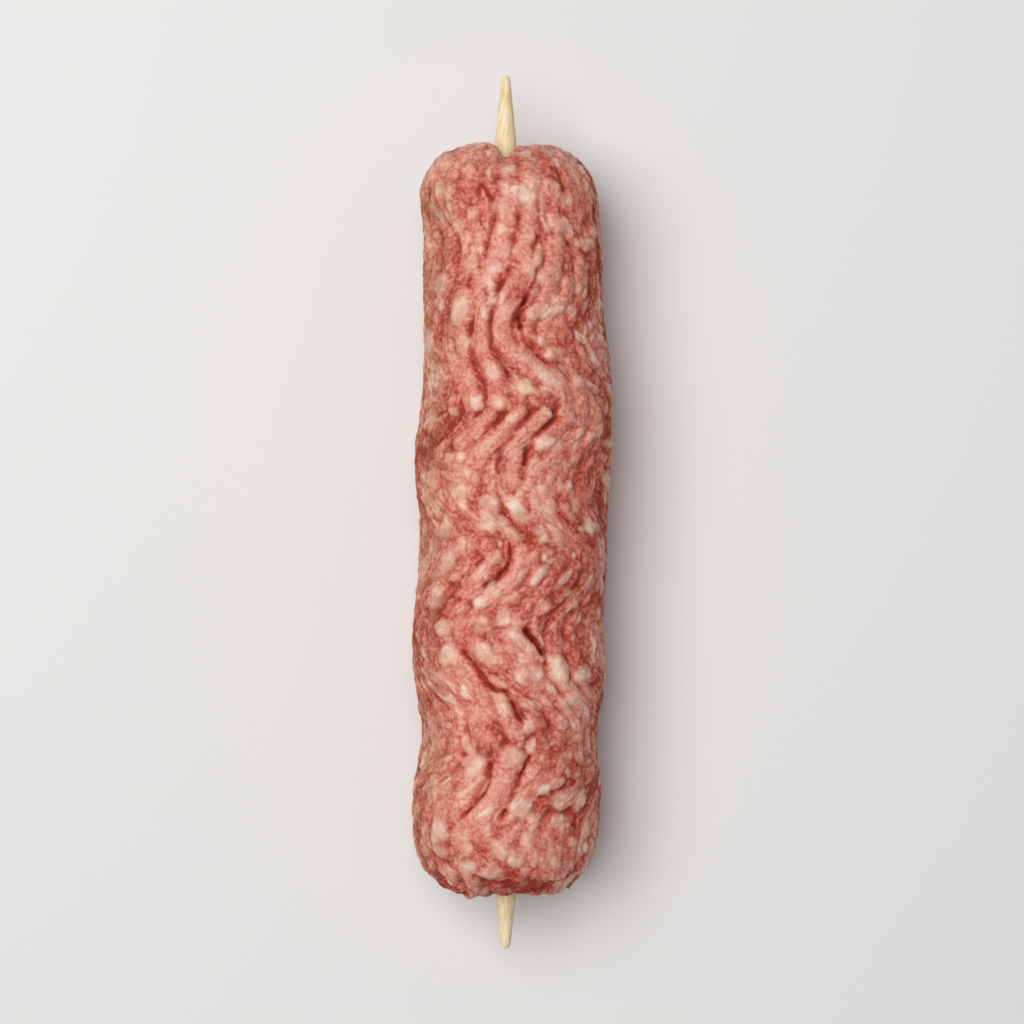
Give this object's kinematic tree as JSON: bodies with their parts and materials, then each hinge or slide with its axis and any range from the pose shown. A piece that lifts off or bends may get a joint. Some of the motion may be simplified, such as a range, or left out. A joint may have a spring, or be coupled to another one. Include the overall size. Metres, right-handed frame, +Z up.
{
  "type": "kofta skewer",
  "caption": "Raw minced-meat kofta: a log of wavy mince strands pressed round a short bamboo stick that tapers to a blunt tip at each end, lying on its flattened underside.",
  "frame": {"origin": "on the floor, under the middle of the whole, stick included", "axes": "+Y runs along the stick to its far tip, which is at the top of the picture; +X is to the right; +Z is up"},
  "size_m": [0.0344, 0.15, 0.0305],
  "materials": {
    "raw_mince": "moist raw minced meat, pinkish red with cream fat",
    "bamboo": "dry, finely grained, untreated"
  },
  "bodies": {
    "root": {"mince": "raw_mince", "stick": "bamboo"}
  },
  "joints": []
}
